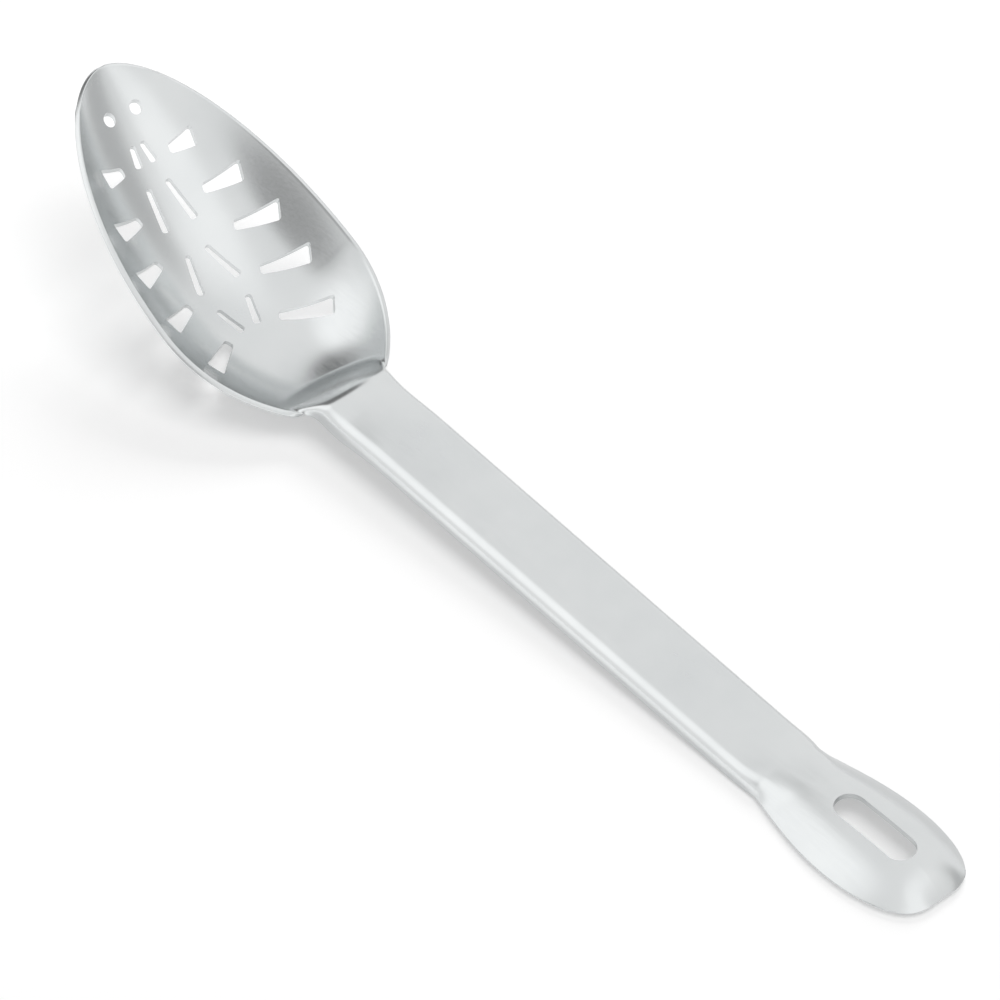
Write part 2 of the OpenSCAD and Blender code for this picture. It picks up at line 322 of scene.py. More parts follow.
    def leaf_section(self, t: float, v: float) -> tuple[float, float]:
        """Section of the leaf-shaped end: a level middle and a skirt that rounds down to the edge.

        The skirt follows the outline round the end, and is narrower where the flanges run out.

        Args:
            t: Way along the sheet.
            v: Share of the way across.

        Returns:
            The point's places across and up.
        """
        w = self.grip_half_w(t)
        spread_end = self.flange_end + self.skirt_spread_len
        ahead = min(t + self.probe, self.sheet_end)
        flare = (self.grip_half_w(ahead) - self.grip_half_w(t - self.probe)) / (2 * self.probe)
        flare *= smooth(self.flange_end, spread_end, t)
        side = max(NEAR_ZERO, w * (1 - abs(v)) / math.hypot(1, flare))
        end = max(NEAR_ZERO, self.sheet_end - t)
        power = self.skirt_blend_power
        from_edge = side * end / (side**power + end**power) ** (1 / power)
        spread = smooth(self.flange_end - self.open_before, spread_end, t)
        skirt_share = self.skirt_start_share + (1 - self.skirt_start_share) * spread
        down = (1 - clamp01(from_edge / (self.leaf_skirt_w * skirt_share))) ** self.leaf_skirt_power
        return w * v, -(self.leaf_drop - self.hang_rise + self.rise_at(t)) * down

    def section(self, t: float, v: float) -> tuple[float, float]:
        """Section of the sheet, with the bowl, channel and leaf run into each other.

        The bowl turns into the channel over a shorter way at the edges than in the middle,
        and the channel opens into the leaf in the same manner.

        Args:
            t: Way along the sheet.
            v: Share of the way across.

        Returns:
            The point's places across and up.
        """
        turn_end = self.bowl_len - self.turn_spread * v * v
        turn = self.turn_before * (1 - self.turn_narrowing * v * v)
        grip_share = smooth(turn_end - turn, turn_end, t)
        open_share = 1 - self.open_narrowing * v * v
        opens_at, open_at = self.open_before * open_share, self.open_after * open_share
        leaf_share = smooth(self.flange_end - opens_at, self.flange_end + open_at, t)
        parts = (
            (self.bowl_section, 1 - grip_share),
            (self.channel_section, grip_share * (1 - leaf_share)),
            (self.leaf_section, grip_share * leaf_share),
        )
        x = z = 0.0
        for form, share in parts:
            if share > 0:
                across, up = form(t, v)
                x += share * across
                z += share * up
        return x, z

    def rise_at(self, t: float) -> float:
        """Height that the middle line gains toward the leaf-shaped end."""
        begins, ends = self.flange_end - self.rise_before, self.flange_end + self.rise_after
        return self.hang_rise * smooth(begins, ends, t)

    def course(self, t: float) -> tuple[float, float, float]:
        """Course of the middle line, seen from the side.

        Args:
            t: Way along the sheet.

        Returns:
            Its angle down toward the hanging end, and its places along and up.
        """
        fall = self.handle_fall
        sin_fall, cos_fall = sin_deg(fall), cos_deg(fall)
        if t < self.flange_end:
            angle, along, up = 0.0, self.bend_to - t, 0.0
            if t < self.bend_from:
                angle = self.bowl_tilt
                along, up = self.bowl_run - t * cos_deg(angle), self.bowl_rise - t * sin_deg(angle)
            elif t < self.bend_to:
                angle = self.bowl_tilt * (self.bend_to - t) / (self.bend_to - self.bend_from)
                along, up = self.bend_r * sin_deg(angle), self.bend_r * (1 - cos_deg(angle))
            along += self.straight_len
            return angle + fall, along * cos_fall - up * sin_fall, along * sin_fall + up * cos_fall
        angle = max(0.0, fall * (self.level_from - t) / self.level_bend)
        along = -self.level_r * (sin_fall - sin_deg(angle)) - max(0.0, t - self.level_from)
        return angle, along, -self.level_r * (cos_deg(angle) - cos_fall)

    def top_point(self, t: float, v: float) -> Vector:
        """Point of the upper face in millimetres, in the frame of the whole object.

        Args:
            t: Way along the sheet.
            v: Share of the way across.

        Returns:
            The point, with its section set at right angles to the course.
        """
        angle, along, up = self.course(t)
        x, z = self.section(t, v)
        y = along - z * sin_deg(angle)
        return Vector((x, y, up + z * cos_deg(angle) + self.rise_at(t))) + self.place

    def normal(self, t: float, v: float) -> Vector:
        """Normal of the upper face.

        Args:
            t: Way along the sheet.
            v: Share of the way across.

        Returns:
            The unit vector away from the sheet.
        """
        along = self.top_point(t + self.probe, v) - self.top_point(t - self.probe, v)
        across = self.top_point(t, v + self.probe) - self.top_point(t, v - self.probe)
        return along.cross(across).normalized()

    def under_point(self, t: float, v: float) -> Vector:
        """Point of the lower face, under that of the upper face."""
        return self.top_point(t, v) - self.sheet_t * self.normal(t, v)


def srgb(code: str) -> tuple[float, float, float, float]:
    """Linear colour of an sRGB hex value.

    Args:
        code: Six hex digits, with or without a leading hash.

    Returns:
        Linear red, green, blue and an alpha of 1.
    """
    digits = code.lstrip("#")
    parts = [int(digits[k:k + 2], 16) / 255 for k in (0, 2, 4)]
    red, green, blue = (p / 12.92 if p <= 0.04045 else ((p + 0.055) / 1.055) ** 2.4 for p in parts)
    return red, green, blue, 1.0


def add_node(
    tree: bpy.types.NodeTree, kind: str, settings: dict | None = None, inputs: dict | None = None
) -> bpy.types.Node:
    """Adds a node with its settings and its inputs.

    Args:
        tree: Node tree that the node goes into.
        kind: Blender's name for the node's type.
        settings: Values of the node's own properties.
        inputs: By socket name or number, a value or the output socket to link from.

    Returns:
        The new node.
    """
    node = tree.nodes.new(kind)
    for name, value in (settings or {}).items():
        setattr(node, name, value)
    for name, value in (inputs or {}).items():
        if isinstance(value, bpy.types.NodeSocket):
            tree.links.new(value, node.inputs[name])
        else:
            node.inputs[name].default_value = value
    return node


def new_material(name: str) -> tuple[bpy.types.Material, bpy.types.NodeTree]:
    """Makes a material with an empty node tree.

    Args:
        name: Name of the material.

    Returns:
        The material and its node tree.
    """
    material = bpy.data.materials.new(name)
    material.use_nodes = True
    material.node_tree.nodes.clear()
    return material, material.node_tree


@dataclass(frozen=True)
class SatinStainless:
    """18/8 stainless sheet, tumbled and then brushed along its length to a fine satin.

    It gives the eye a soft grey with blurred lights in it, a faint grain that runs from
    the tip to the hanging end, and a slight cloudiness where the tumbling was uneven.
    """

    name: str = "satin_stainless_brushed"
    colour: str = "#DFE1E1"
    worn_colour: str = "#D1D4D5"
    roughness: float = 0.23
    roughness_spread: float = 0.06
    # Brush lines are about 0.05 mm apart in life, too fine to show, so they are drawn coarser
    grain_across_mm: float = 0.45
    grain_along_mm: float = 14.0
    grain_detail: float = 3.0
    grain_depth_mm: float = 0.1
    grain_strength: float = 0.02
    cloud_mm: float = 22.0
    cloud_detail: float = 4.0

    def build(self) -> bpy.types.Material:
        """Builds the material from patterns on object coordinates.

        Returns:
            The satin steel.
        """
        material, tree = new_material(self.name)
        place = add_node(tree, "ShaderNodeTexCoord").outputs["Object"]
        across, along = 1 / (self.grain_across_mm * MM), 1 / (self.grain_along_mm * MM)
        stretched = add_node(tree, "ShaderNodeMapping", inputs={
            "Vector": place, "Scale": (across, along, across)})
        grain = add_node(tree, "ShaderNodeTexNoise", inputs={
            "Vector": stretched.outputs[0], "Scale": 1.0, "Detail": self.grain_detail})
        cloud = add_node(tree, "ShaderNodeTexNoise", inputs={
            "Vector": place, "Scale": 1 / (self.cloud_mm * MM), "Detail": self.cloud_detail})
        grain_spread, cloud_spread = self.roughness_spread / 2, self.roughness_spread / 3
        rough_grain = add_node(tree, "ShaderNodeMapRange", inputs={
            "Value": grain.outputs["Fac"], "From Min": NOISE_LOW, "From Max": NOISE_HIGH,
            "To Min": self.roughness - grain_spread, "To Max": self.roughness + grain_spread})
        rough_cloud = add_node(tree, "ShaderNodeMapRange", inputs={
            "Value": cloud.outputs["Fac"], "From Min": NOISE_LOW, "From Max": NOISE_HIGH,
            "To Min": -cloud_spread, "To Max": cloud_spread})
        rough = add_node(tree, "ShaderNodeMath", {"operation": "ADD"}, {
            0: rough_grain.outputs[0], 1: rough_cloud.outputs[0]})
        tint = add_node(tree, "ShaderNodeMix", {"data_type": "RGBA"}, {
            "Factor": cloud.outputs["Fac"],
            MIX_COLOUR_A: srgb(self.colour), MIX_COLOUR_B: srgb(self.worn_colour)})
        bump = add_node(tree, "ShaderNodeBump", inputs={
            "Strength": self.grain_strength, "Distance": self.grain_depth_mm * MM,
            "Height": grain.outputs["Fac"]})
        shader = add_node(tree, "ShaderNodeBsdfPrincipled", inputs={
            "Base Color": tint.outputs[MIX_COLOUR_OUT], "Metallic": 1.0,
            "Roughness": rough.outputs[0], "Normal": bump.outputs[0]})
        add_node(tree, "ShaderNodeOutputMaterial", inputs={"Surface": shader.outputs[0]})
        return material


@dataclass(frozen=True)
class PaperFloor:
    """Matt white seamless paper: it takes soft shadows and shows no gloss.

    A little glow lifts it to the photograph's white. The camera sees all of it, the steel
    mirrors a share of it, and none of it lights the spoon.
    """

    name: str = "white_seamless_paper"
    colour: str = "#E6E6E6"
    lift: float = 0.35
    mirrored_share: float = 0.65

    def build(self) -> bpy.types.Material:
        """Builds the paper.

        Returns:
            The paper, with the glow that each kind of ray sees.
        """
        material, tree = new_material(self.name)
        path = add_node(tree, "ShaderNodeLightPath")
        mirrored = add_node(tree, "ShaderNodeMath", {"operation": "MULTIPLY"}, {
            0: path.outputs["Is Glossy Ray"], 1: self.mirrored_share})
        seen = add_node(tree, "ShaderNodeMath", {"operation": "MAXIMUM"}, {
            0: path.outputs["Is Camera Ray"], 1: mirrored.outputs[0]})
        seen = add_node(tree, "ShaderNodeMath", {"operation": "MAXIMUM"}, {
            0: seen.outputs[0], 1: path.outputs["Is Transmission Ray"]})
        lift = add_node(tree, "ShaderNodeMath", {"operation": "MULTIPLY"}, {
            0: seen.outputs[0], 1: self.lift})
        paper = add_node(tree, "ShaderNodeBsdfDiffuse", inputs={
            "Color": srgb(self.colour), "Roughness": 1.0})
        glow = add_node(tree, "ShaderNodeEmission", inputs={
            "Color": WHITE, "Strength": lift.outputs[0]})
        both = add_node(tree, "ShaderNodeAddShader", inputs={
            0: paper.outputs[0], 1: glow.outputs[0]})
        add_node(tree, "ShaderNodeOutputMaterial", inputs={"Surface": both.outputs[0]})
        return material


def deselect_all() -> None:
    """Leaves object mode with nothing selected."""
    if bpy.context.object and bpy.context.object.mode != "OBJECT":
        bpy.ops.object.mode_set(mode="OBJECT")
    bpy.ops.object.select_all(action="DESELECT")


def make_active(piece: bpy.types.Object) -> None:
    """Makes a piece the only selected and the active object.

    Args:
        piece: The piece that the next operator works on.
    """
    deselect_all()
    piece.select_set(True)
    bpy.context.view_layer.objects.active = piece


def select_nothing(mesh: bpy.types.Mesh) -> None:
    """Clears the selection of a mesh that is in object mode."""
    for part in (mesh.vertices, mesh.edges, mesh.polygons):
        part.foreach_set("select", [False] * len(part))


def apply_modifier(piece: bpy.types.Object, kind: str, **settings: object) -> None:
    """Adds one modifier to a piece and applies it.

    Args:
        piece: The piece that it changes.
        kind: Blender's name for the modifier's type.
        settings: Values of the modifier's own properties.
    """
    make_active(piece)
    modifier = piece.modifiers.new(kind.title(), kind)
    for name, value in settings.items():
        setattr(modifier, name, value)
    bpy.ops.object.modifier_apply(modifier=modifier.name)


@dataclass
class SheetPiece:
    """One stretch of the pressing, cut from the sheet between two rows."""

    form: SheetForm
    stretch: Stretch
    finish: bpy.types.Material
    columns: int = 96
    edge_round: float = 0.3
    edge_steps: int = 3
    crease_angle: float = 34.0
    seam_reach: float = 0.06
    seam_alignment: float = 0.9

    def grid_rows(self) -> int:
        """Number of strips along the stretch."""
        raise NotImplementedError

    def place_on_sheet(self, share: float, v: float) -> tuple[float, float]:
        """Way along and share across of a grid point, from its share of the rows and its column."""
        raise NotImplementedError

    def free_row(self, share: float) -> bool:
        """True for a row that is an edge of the whole sheet."""
        return False

    def seams(self) -> tuple[float, ...]:
        """Ways along the sheet at which this stretch meets its neighbours."""
        raise NotImplementedError

    def cutters(self) -> list[bpy.types.Object]:
        """Punches that pierce this stretch."""
        return []

    def press(self) -> bpy.types.Object:
        """Lays a flat grid on the upper face, gives it the sheet's thickness and rounds its edges.

        Returns:
            The closed stretch, before it is pierced.
        """
        deselect_all()
        rows = self.grid_rows()
        bpy.ops.mesh.primitive_grid_add(x_subdivisions=self.columns, y_subdivisions=rows, size=2)
        piece = bpy.context.object
        piece.name = piece.data.name = f"{self.stretch.value}_sheet"
        border = piece.vertex_groups.new(name="border")
        for vertex in piece.data.vertices:
            share, v = (1 - vertex.co.y) / 2, vertex.co.x
            if abs(v) > 1 - EDGE_TOLERANCE or self.free_row(share):
                border.add([vertex.index], 1.0, "REPLACE")
            t, across = self.place_on_sheet(share, v)
            vertex.co = self.form.top_point(t, across) * MM
        count = len(piece.data.vertices)
        thickness = self.form.sheet_t * MM
        apply_modifier(piece, "SOLIDIFY", thickness=thickness, offset=-1.0, use_even_offset=True)
        self.round_edges(piece, count)
        return piece

    def round_edges(self, piece: bpy.types.Object, count: int) -> None:
        """Bevels the free edges of the sheet, and leaves its seams square.

        Args:
            piece: The thickened stretch.
            count: Number of points on its upper face, which the lower face repeats.
        """
        make_active(piece)
        bpy.context.tool_settings.mesh_select_mode = (False, True, False)
        mesh = piece.data
        held = {vertex.index for vertex in mesh.vertices if len(vertex.groups) > 0}
        select_nothing(mesh)
        for edge in mesh.edges:
            a, b = edge.vertices
            edge.select = a in held and b in held and abs(a - b) != count
        bpy.ops.object.mode_set(mode="EDIT")
        bpy.ops.mesh.bevel(
            offset=self.edge_round * MM, segments=self.edge_steps, affect="EDGES",
            clamp_overlap=False)
        bpy.ops.object.mode_set(mode="OBJECT")
        piece.vertex_groups.clear()

    def pierce(self, piece: bpy.types.Object) -> None:
        """Punches the slots through the stretch.

        Args:
            piece: The closed stretch.
        """
        punches = self.cutters()
        if not punches:
            return
        deselect_all()
        for punch in punches:
            punch.select_set(True)
        bpy.context.view_layer.objects.active = punches[0]
        bpy.ops.object.join()
        punch = bpy.context.object
        apply_modifier(piece, "BOOLEAN", operation="DIFFERENCE", solver="EXACT", object=punch)
        bpy.data.objects.remove(punch)

    def seam_spots(self) -> list[tuple[Vector, Vector]]:
        """Points of both faces along the seams, with the sheet's own normals there.

        Returns:
            Pairs of a point, in metres, and its normal.
        """
        spots: list[tuple[Vector, Vector]] = []
        for t in self.seams():
            for column in range(self.columns + 1):
                v = 2 * column / self.columns - 1
                top, normal = self.form.top_point(t, v) * MM, self.form.normal(t, v)
                spots.append((top, normal))
                spots.append((top - normal * self.form.sheet_t * MM, -normal))
        return spots

    def match_seams(self, piece: bpy.types.Object) -> None:
        """Gives the seams the sheet's own normals, so that light runs over them unbroken.

        Args:
            piece: The stretch, already shaded smooth.
        """
        spots = self.seam_spots()
        tree = kdtree.KDTree(len(spots))
        for number, (spot, _) in enumerate(spots):
            tree.insert(spot, number)
        tree.balance()
        mesh = piece.data
        near: dict[int, Vector] = {}
        for vertex in mesh.vertices:
            _, number, distance = tree.find(vertex.co)
            if distance < self.seam_reach * MM:
                near[vertex.index] = spots[number][1]
        normals = [Vector(corner.vector) for corner in mesh.corner_normals]
        for loop in mesh.loops:
            normal = near.get(loop.vertex_index)
            if normal is not None and normals[loop.index].dot(normal) > self.seam_alignment:
                normals[loop.index] = normal
        mesh.normals_split_custom_set(normals)

    def build(self) -> bpy.types.Object:
        """Makes the stretch, pierces it, dresses it and puts it in place of its CAD node.

        Returns:
            The finished stretch.
        """
        piece = self.press()
        self.pierce(piece)
        make_active(piece)
        bpy.ops.object.shade_smooth_by_angle(angle=math.radians(self.crease_angle))
        self.match_seams(piece)
        piece.data.materials.clear()
        piece.data.materials.append(self.finish)
        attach(piece, "root")
        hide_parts(self.stretch.value)
        log.info("%s: %d faces", piece.name, len(piece.data.polygons))
        return piece


@dataclass(frozen=True)
class Slot:
    """One tapered slot.

    Its two ends are shares of the bowl's length and half width, and it has a width at each.
    """

    start: tuple[float, float]
    end: tuple[float, float]
    start_w: float
    end_w: float


@dataclass
class BowlSheet(SheetPiece):
    """The drawn bowl, from its tip to the start of the neck, with its fan of slots."""

    tip_rows: int = 44
    body_rows: int = 116
    tip_zone: float = 22.0
    tip_half_w: float = 13.0
    slot_inner_w: float = 2.6
    slot_outer_w: float = 5.4
    slot_mid_w: float = 2.4
    mid_taper_share: float = 0.75
    slot_corner_r: float = 0.8
    slot_corner_steps: int = 5
    tip_hole_d: float = 3.6
    tip_hole_sides: int = 48
    tip_hole: tuple[float, float] = (0.104, 0.137)
    side_slots: tuple[tuple[float, float, float, float], ...] = (
        (0.215, 0.240, 0.221, 0.463),
        (0.328, 0.329, 0.348, 0.645),
        (0.436, 0.392, 0.473, 0.727),
        (0.555, 0.370, 0.598, 0.732),
        (0.672, 0.264, 0.732, 0.632),
    )
    mid_slots: tuple[tuple[float, float, float, float], ...] = (
        (0.172, 0.050, 0.222, 0.080),
        (0.269, 0.100, 0.374, 0.153),
        (0.441, 0.098, 0.539, 0.200),
        (0.589, 0.160, 0.661, 0.079),
    )

    def grid_rows(self) -> int:
        """Number of strips along the bowl."""
        return self.tip_rows + self.body_rows

    def free_row(self, share: float) -> bool:
        """The first row runs along the tip's edge."""
        return share < EDGE_TOLERANCE

    def seams(self) -> tuple[float, ...]:
        """The bowl meets the neck."""
        return (self.form.bowl_seam,)

    def place_on_sheet(self, share: float, v: float) -> tuple[float, float]:
        """Rows follow the outline at the tip and straighten out over the tip zone.

        Args:
            share: The row's share of all rows, from the tip.
            v: The column's share of the way across.

        Returns:
            The grid point's way along the sheet and share of the way across.
        """
        form = self.form
        row = share * self.grid_rows()
        if row >= self.tip_rows:
            way = (row - self.tip_rows) / self.body_rows
            return self.tip_zone + (form.bowl_seam - self.tip_zone) * way, v
        way = row / self.tip_rows
        first = form.tip_outline(self.tip_half_w)
        side = first + (self.tip_zone - first) * way
        sag = (first - form.tip_outline(v * self.tip_half_w)) * (1 - way) ** 2
        t = max(form.tip_start, side - sag)
        return t, max(-1.0, min(1.0, v * form.half_w(side) / form.half_w(t)))

    def slots(self) -> list[Slot]:
        """All the tapered slots of one side.

        Returns:
            The five side slots and the four middle slots, from the tip back.
        """
        mid_start_w = self.slot_mid_w * self.mid_taper_share
        sides = [Slot(s[:2], s[2:], self.slot_inner_w, self.slot_outer_w) for s in self.side_slots]
        mids = [Slot(s[:2], s[2:], mid_start_w, self.slot_mid_w) for s in self.mid_slots]
        return sides + mids

    def punch_frame(self) -> Matrix:
        """Place of the bowl's rim plane.

        Returns:
            The place in metres, with y running back from the tip.
        """
        form = self.form
        angle, along, up = form.course(0)
        place = Matrix.Translation((Vector((0, along, up)) + form.place) * MM)
        return place @ Matrix.Rotation(math.radians(angle), 4, "X")

    def punch_height(self) -> float:
        """Height of a punch, from under the sheet to over the rim."""
        form = self.form
        return (form.bowl_depth + form.neck_rise + form.rim_bow + 3 * form.sheet_t) * MM

    def slot_punch(self, slot: Slot, side: int) -> bpy.types.Object:
        """Shapes one tapered punch with round corners.

        Args:
            slot: The slot that it makes.
            side: 1 for the slot itself, -1 for its mirror image.

        Returns:
            The punch, in its place over the bowl.
        """
        half_w, length = self.form.bowl_w / 2 * MM, self.form.bowl_len * MM
        start = Vector((side * slot.start[1] * half_w, -slot.start[0] * length, 0))
        end = Vector((side * slot.end[1] * half_w, -slot.end[0] * length, 0))
        run, height = (end - start).length, self.punch_height()
        deselect_all()
        bpy.ops.mesh.primitive_cube_add(size=1, scale=(slot.start_w * MM, run, height))
        punch = bpy.context.object
        bpy.ops.object.transform_apply(location=False, rotation=False, scale=True)
        bpy.context.tool_settings.mesh_select_mode = (True, False, False)
        select_nothing(punch.data)
        for vertex in punch.data.vertices:
            vertex.select = vertex.co.y > 0
        bpy.ops.object.mode_set(mode="EDIT")
        widening = (slot.end_w / slot.start_w, 1, 1)
        bpy.ops.transform.resize(value=widening, center_override=(0, run / 2, 0))
        bpy.ops.object.mode_set(mode="OBJECT")
        self.round_upright_edges(punch)
        heading = Matrix.Rotation(math.atan2(-(end - start).x, (end - start).y), 4, "Z")
        rise = Vector((0, 0, -height / 2 + self.form.sheet_t * MM))
        lift = Matrix.Translation((start + end) / 2 + rise)
        punch.data.transform(self.punch_frame() @ lift @ heading)
        return punch

    def round_upright_edges(self, punch: bpy.types.Object) -> None:
        """Rounds the four upright edges of a punch.

        Args:
            punch: The tapered block, still upright at the origin.
        """
        bpy.context.tool_settings.mesh_select_mode = (False, True, False)
        mesh = punch.data
        select_nothing(mesh)
        for edge in mesh.edges:
            a, b = (mesh.vertices[i].co for i in edge.vertices)
            edge.select = abs(a.z - b.z) > self.form.sheet_t * MM
        bpy.ops.object.mode_set(mode="EDIT")
        bpy.ops.mesh.bevel(
            offset=self.slot_corner_r * MM, segments=self.slot_corner_steps, affect="EDGES")
        bpy.ops.object.mode_set(mode="OBJECT")

    def hole_punch(self, side: int) -> bpy.types.Object:
        """Makes the round punch for one of the two holes at the tip.

        Args:
            side: -1 or 1, for the hole on that side of the middle line.

        Returns:
            The punch, in its place over the bowl.
        """
        form, height = self.form, self.punch_height()
        deselect_all()
        bpy.ops.mesh.primitive_cylinder_add(
            vertices=self.tip_hole_sides, radius=self.tip_hole_d / 2 * MM, depth=height)
        punch = bpy.context.object
        x, y = side * self.tip_hole[1] * form.bowl_w / 2, -self.tip_hole[0] * form.bowl_len
        lift = Matrix.Translation(Vector((x * MM, y * MM, -height / 2 + form.sheet_t * MM)))
        punch.data.transform(self.punch_frame() @ lift)
        return punch

    def cutters(self) -> list[bpy.types.Object]:
        """Punches for the slots and holes of both sides."""
        punches = [self.slot_punch(slot, side) for slot in self.slots() for side in (-1, 1)]
        return punches + [self.hole_punch(side) for side in (-1, 1)]


@dataclass
class NeckSheet(SheetPiece):
    """The steep rear wall of the bowl, its two corners and the start of the channel."""

    strips: int = 64

    def grid_rows(self) -> int:
        """Number of strips along the neck."""
        return self.strips

    def seams(self) -> tuple[float, ...]:
        """The neck meets the bowl and the handle."""
        return self.form.bowl_seam, self.form.handle_seam

    def place_on_sheet(self, share: float, v: float) -> tuple[float, float]:
        """Even rows straight across."""
        return self.form.bowl_seam + (self.form.handle_seam - self.form.bowl_seam) * share, v


@dataclass
class HandleSheet(SheetPiece):
    """The straight channel with its crowned top, round shoulders and flanges."""

    strips: int = 90

    def grid_rows(self) -> int:
        """Number of strips along the handle."""
        return self.strips

    def seams(self) -> tuple[float, ...]:
        """The handle meets the neck and the hanging end."""
        return self.form.handle_seam, self.form.end_seam

    def place_on_sheet(self, share: float, v: float) -> tuple[float, float]:
        """Even rows straight across."""
        return self.form.handle_seam + (self.form.end_seam - self.form.handle_seam) * share, v


@dataclass
class HangingEndSheet(SheetPiece):
    """The arched leaf-shaped end, with the end of the flanges and the hanging slot."""

    body_rows: int = 84
    end_rows: int = 30
    end_zone: float = 12.0
    end_half_w: float = 9.5
    punch_h: float = 20.0
    punch_sides: int = 96

    def grid_rows(self) -> int:
        """Number of strips along the hanging end."""
        return self.body_rows + self.end_rows

    def free_row(self, share: float) -> bool:
        """The last row runs along the end's edge."""
        return share > 1 - EDGE_TOLERANCE

    def seams(self) -> tuple[float, ...]:
        """The hanging end meets the handle."""
        return (self.form.end_seam,)

    def place_on_sheet(self, share: float, v: float) -> tuple[float, float]:
        """Rows straight across, which bend to follow the outline at the end.

        Args:
            share: The row's share of all rows, from the handle.
            v: The column's share of the way across.

        Returns:
            The grid point's way along the sheet and share of the way across.
        """
        form = self.form
        row = share * self.grid_rows()
        zone = form.sheet_end - self.end_zone
        if row <= self.body_rows:
            return form.end_seam + (zone - form.end_seam) * row / self.body_rows, v
        way = (row - self.body_rows) / self.end_rows
        last = form.end_outline(self.end_half_w)
        side = self.end_zone + (last - self.end_zone) * way
        sag = (last - form.end_outline(v * self.end_half_w)) * way**2
        t = form.sheet_end - max(form.tip_start, side - sag)
        return t, max(-1.0, min(1.0, v * form.half_w(form.sheet_end - side) / form.half_w(t)))

    def cutters(self) -> list[bpy.types.Object]:
        """Makes the punch for the hanging slot, a cylinder that is parted to give two round ends.

        Returns:
            The punch, in its place over the leaf.
        """
        form = self.form
        half_run = (form.hang_slot_len - form.hang_slot_w) / 2 * MM
        deselect_all()
        bpy.ops.mesh.primitive_cylinder_add(
            vertices=self.punch_sides, radius=form.hang_slot_w / 2 * MM, depth=self.punch_h * MM)
        punch = bpy.context.object
        bpy.context.tool_settings.mesh_select_mode = (True, False, False)
        for side in (1, -1):
            select_nothing(punch.data)
            for vertex in punch.data.vertices:
                vertex.select = side * vertex.co.y > NEAR_ZERO
            bpy.ops.object.mode_set(mode="EDIT")
            bpy.ops.transform.translate(value=(0, side * half_run, 0))
            bpy.ops.object.mode_set(mode="OBJECT")
        middle = form.place.y + form.course(form.sheet_end - form.hang_slot_from_end)[1]
        punch.data.transform(Matrix.Translation((0, middle * MM, form.place.z * MM)))
        return [punch]


@dataclass(frozen=True)
class Patch:
    """A round patch of the surround that is brighter or darker than the rest.

    It stands for a card or panel hung round the table, with angles in degrees. Its heading
    runs clockwise from the way the spoon's tip points, seen from above, and its height is
    over the horizon. Its strength is full within radius and fades out over the next fade.
    """

    heading: float
    height: float
    radius: float
    fade: float
    strength: float

    def aim(self) -> tuple[float, float, float]:
        """Unit vector toward the middle of the patch."""
        flat = cos_deg(self.height)
        return flat * sin_deg(self.heading), flat * cos_deg(self.heading), sin_deg(self.height)


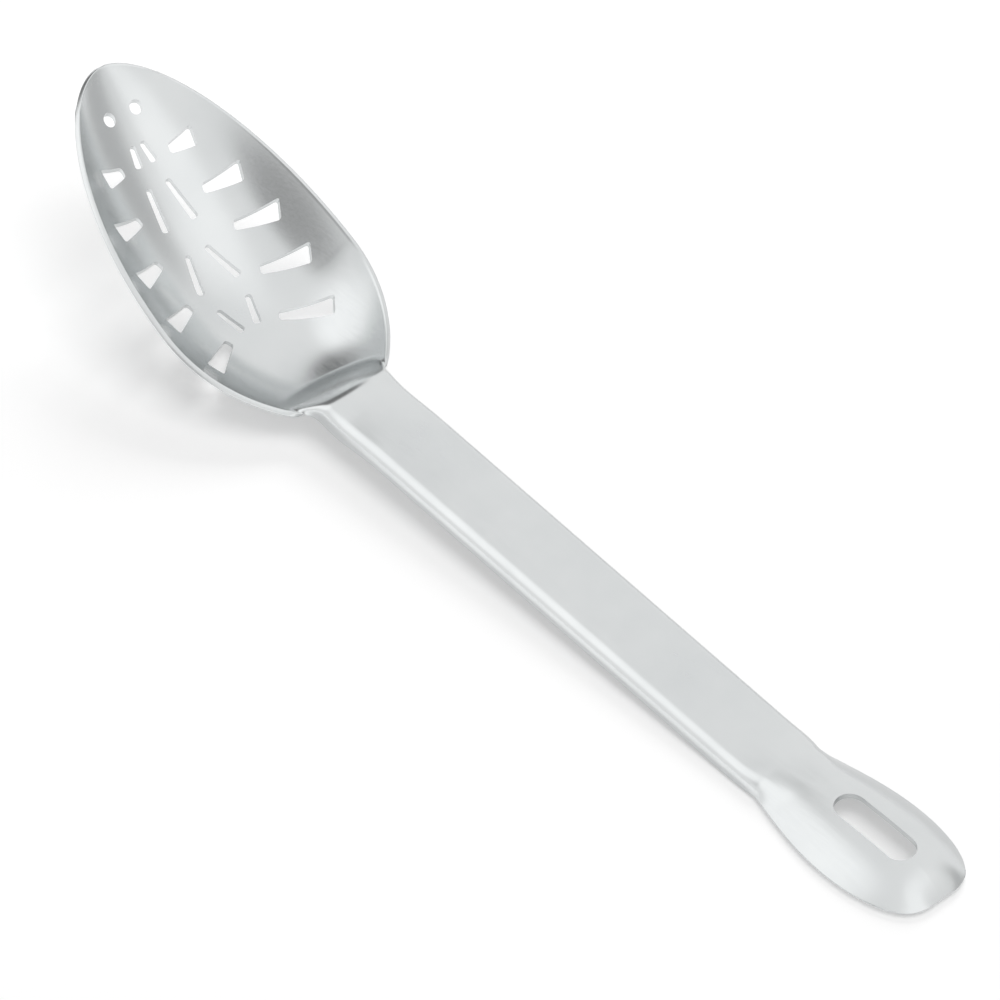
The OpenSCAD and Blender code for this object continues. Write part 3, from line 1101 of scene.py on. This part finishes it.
@dataclass
class Studio:
    """Camera, softboxes, surround and floor, in metres and watts.

    Only the camera's own place, lens and sensor are in millimetres. Its shift is a share of
    the frame, and world_fill is the strength of the surround on matt surfaces.
    """

    camera_at: tuple[float, float, float] = (-552.37, -670.09, 831.62)
    heading: float = 39.477
    down: float = 43.613
    roll: float = -0.877
    lens: float = 168.03
    sensor_w: float = 36.0
    shift: tuple[float, float] = (0.00526, 0.0286)
    clip: tuple[float, float] = (0.05, 50.0)
    floor_size: float = 8.0
    key_at: tuple[float, float, float] = (0.1, -0.45, 1.5)
    key_size: float = 1.0
    key_power: float = 8.8
    back_at: tuple[float, float, float] = (1.1, 0.8, 0.95)
    back_size: float = 0.9
    back_power: float = 23.0
    world_fill: float = 0.38
    sweep_glow: float = 1.0
    # Dark card past the tip, which the bowl's rear wall mirrors as its dark crescent
    tip_card: Patch = Patch(heading=5, height=25, radius=20, fade=10, strength=-0.8)
    # Dark card on the left, which the far wall of the bowl mirrors as its dark band
    left_card: Patch = Patch(heading=-95, height=25, radius=10, fade=10, strength=-0.6)
    # Grey card on the right, which darkens the near wall of the bowl toward the tip
    right_card: Patch = Patch(heading=125, height=20, radius=10, fade=25, strength=-0.4)
    # White panel ahead on the left, which lights the near side of the leaf
    left_panel: Patch = Patch(heading=-40, height=40, radius=15, fade=15, strength=0.3)
    # White panel past the hanging end, which lights the floor of the bowl
    rear_panel: Patch = Patch(heading=170, height=50, radius=20, fade=20, strength=0.2)

    def add_camera(self) -> None:
        """Places the camera at the photograph's viewing angle."""
        data = bpy.data.cameras.new("photo_camera")
        data.lens, data.sensor_width = self.lens, self.sensor_w
        data.shift_x, data.shift_y = self.shift
        data.clip_start, data.clip_end = self.clip
        camera = bpy.data.objects.new("photo_camera", data)
        bpy.context.scene.collection.objects.link(camera)
        turn = Matrix.Rotation(math.radians(-self.heading), 4, "Z")
        tip = Matrix.Rotation(math.radians(90 - self.down), 4, "X")
        spin = Matrix.Rotation(math.radians(self.roll), 4, "Z")
        camera.matrix_world = Matrix.Translation(Vector(self.camera_at) * MM) @ turn @ tip @ spin
        bpy.context.scene.camera = camera

    def add_floor(self) -> None:
        """Lays the white paper."""
        deselect_all()
        bpy.ops.mesh.primitive_plane_add(size=self.floor_size)
        floor = bpy.context.object
        floor.name = floor.data.name = "paper_floor"
        floor.data.materials.append(PaperFloor().build())

    def add_softbox(
        self, name: str, at: tuple[float, float, float], size: float, power: float
    ) -> None:
        """Hangs one square softbox that looks at the middle of the spoon.

        Args:
            name: Name of the lamp.
            at: Its place in metres.
            size: Length of its side in metres.
            power: Its power in watts.
        """
        data = bpy.data.lights.new(name, "AREA")
        data.shape, data.size, data.energy = "SQUARE", size, power
        lamp = bpy.data.objects.new(name, data)
        lamp.visible_glossy = False
        bpy.context.scene.collection.objects.link(lamp)
        lamp.location = at
        lamp.rotation_euler = (-Vector(at)).to_track_quat("-Z", "Y").to_euler()

    def add_world(self) -> None:
        """Surrounds the spoon with a white sweep.

        The camera sees plain white, matt surfaces get an even fill, and the steel mirrors a
        sweep with a few cards and a panel hung in it.
        """
        world = bpy.data.worlds.new("studio")
        bpy.context.scene.world = world
        world.use_nodes = True
        tree = world.node_tree
        tree.nodes.clear()
        path = add_node(tree, "ShaderNodeLightPath")
        toward = add_node(tree, "ShaderNodeTexCoord").outputs["Generated"]
        glow = self.sweep_glow
        for patch in (
            self.tip_card, self.left_card, self.right_card, self.left_panel, self.rear_panel
        ):
            dot = add_node(tree, "ShaderNodeVectorMath", {"operation": "DOT_PRODUCT"}, {
                0: toward, 1: patch.aim()})
            step = add_node(tree, "ShaderNodeMapRange", {"interpolation_type": "SMOOTHSTEP"}, {
                "Value": dot.outputs["Value"], "From Min": cos_deg(patch.radius + patch.fade),
                "From Max": cos_deg(patch.radius), "To Min": 0.0, "To Max": patch.strength})
            glow = add_node(tree, "ShaderNodeMath", {"operation": "ADD"}, {
                0: glow, 1: step.outputs[0]}).outputs[0]
        mirrored = add_node(tree, "ShaderNodeMath", {"operation": "MAXIMUM"}, {0: glow, 1: 0.0})
        fill = add_node(tree, "ShaderNodeMix", {"data_type": "FLOAT"}, {
            0: path.outputs["Is Glossy Ray"],
            MIX_FLOAT_A: self.world_fill, MIX_FLOAT_B: mirrored.outputs[0]})
        seen = add_node(tree, "ShaderNodeMath", {"operation": "MAXIMUM"}, {
            0: path.outputs["Is Camera Ray"], 1: path.outputs["Is Transmission Ray"]})
        level = add_node(tree, "ShaderNodeMix", {"data_type": "FLOAT"}, {
            0: seen.outputs[0], MIX_FLOAT_A: fill.outputs[0], MIX_FLOAT_B: 1.0})
        back = add_node(tree, "ShaderNodeBackground", inputs={
            "Color": WHITE, "Strength": level.outputs[0]})
        add_node(tree, "ShaderNodeOutputWorld", inputs={"Surface": back.outputs[0]})

    def build(self) -> None:
        """Sets up the whole studio."""
        self.add_camera()
        self.add_floor()
        self.add_world()
        self.add_softbox("key_softbox", self.key_at, self.key_size, self.key_power)
        self.add_softbox("back_softbox", self.back_at, self.back_size, self.back_power)
        bpy.context.scene.view_settings.view_transform = "Standard"
        log.info("studio set")


def main() -> None:
    """Builds the spoon stretch by stretch, and then the studio."""
    form = SheetForm()
    steel = SatinStainless().build()
    for maker, stretch in (
        (BowlSheet, Stretch.BOWL),
        (NeckSheet, Stretch.NECK),
        (HandleSheet, Stretch.HANDLE),
        (HangingEndSheet, Stretch.HANGING_END),
    ):
        maker(form, stretch, steel).build()
    Studio().build()


if __name__ == "__main__":
    main()
